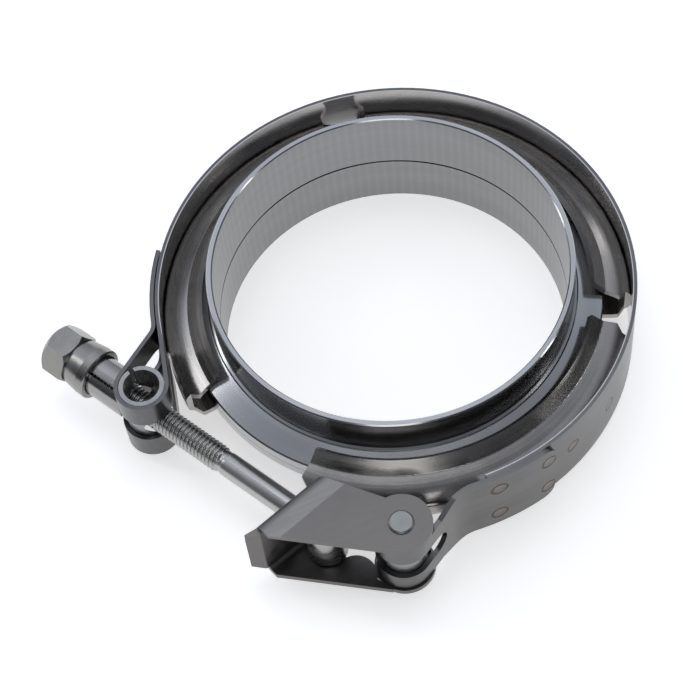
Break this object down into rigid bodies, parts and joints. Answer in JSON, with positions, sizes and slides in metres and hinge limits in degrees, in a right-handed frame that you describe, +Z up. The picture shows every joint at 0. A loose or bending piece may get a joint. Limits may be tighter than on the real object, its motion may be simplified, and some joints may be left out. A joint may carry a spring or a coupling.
{
  "type": "v band clamp",
  "caption": "Quick-release V-band clamp with T-bolt, skirted nut and folded latch, closed loosely round a pair of interlocking exhaust flanges.",
  "frame": {"origin": "centre of the lower flange's open end, on the pipe axis", "axes": "+Z up the pipe axis towards the upper flange, +X along the T-bolt from trunnion to latch, -Y towards the bolt side"},
  "size_m": [0.1061, 0.1181, 0.029],
  "materials": {
    "strap_steel": "brushed along the strap, brown tint round the spot welds",
    "retainer_steel": "satin rolled sheet",
    "latch_steel": "matte, finely brushed",
    "pin_steel": "satin",
    "spacer_steel": "smooth rolled tube",
    "bolt_steel": "smooth, slightly bright",
    "trunnion_steel": "smooth rolled tube",
    "sleeve_steel": "smooth, slightly bright",
    "nut_steel": "smooth, slightly bright",
    "flange_steel": "turned"
  },
  "bodies": {
    "base": {"band": "strap_steel", "retainer_front": "retainer_steel", "retainer_rear": "retainer_steel", "retainer_left": "retainer_steel", "latch_bracket": "strap_steel", "latch_spacer": "spacer_steel", "flange_upper": "flange_steel", "flange_lower": "flange_steel"},
    "latch_arm": {"latch": "latch_steel", "latch_pin": "pin_steel"},
    "bolt_carrier": {"trunnion": "trunnion_steel", "sleeve": "sleeve_steel"},
    "bolt": {"t_bolt": "bolt_steel"},
    "nut": {"nut": "nut_steel"}
  },
  "joints": [
    {"name": "latch_hinge", "type": "hinge", "parent": "base", "child": "latch_arm", "pos_m": [0.03775, -0.0453, 0.01336], "axis": [0, 0, 1], "range_deg": [0, 105]},
    {"name": "bolt_swing", "type": "hinge", "parent": "base", "child": "bolt_carrier", "pos_m": [-0.0262, -0.0525, 0.01336], "axis": [0, 0, -1], "range_deg": [0, 3]},
    {"name": "bolt_slide", "type": "slide", "parent": "bolt_carrier", "child": "bolt", "axis": [1, 0, 0], "range_m": [-0.0007, 0.004]},
    {"name": "nut_turn", "type": "hinge", "parent": "bolt_carrier", "child": "nut", "pos_m": [-0.0465, -0.0525, 0.01336], "axis": [-1, 0, 0], "range_deg": [-290, 1442]}
  ],
  "couplings": [
    {"joint": "nut_turn", "follows": "bolt_slide", "rad_per_m": 6283.2}
  ]
}
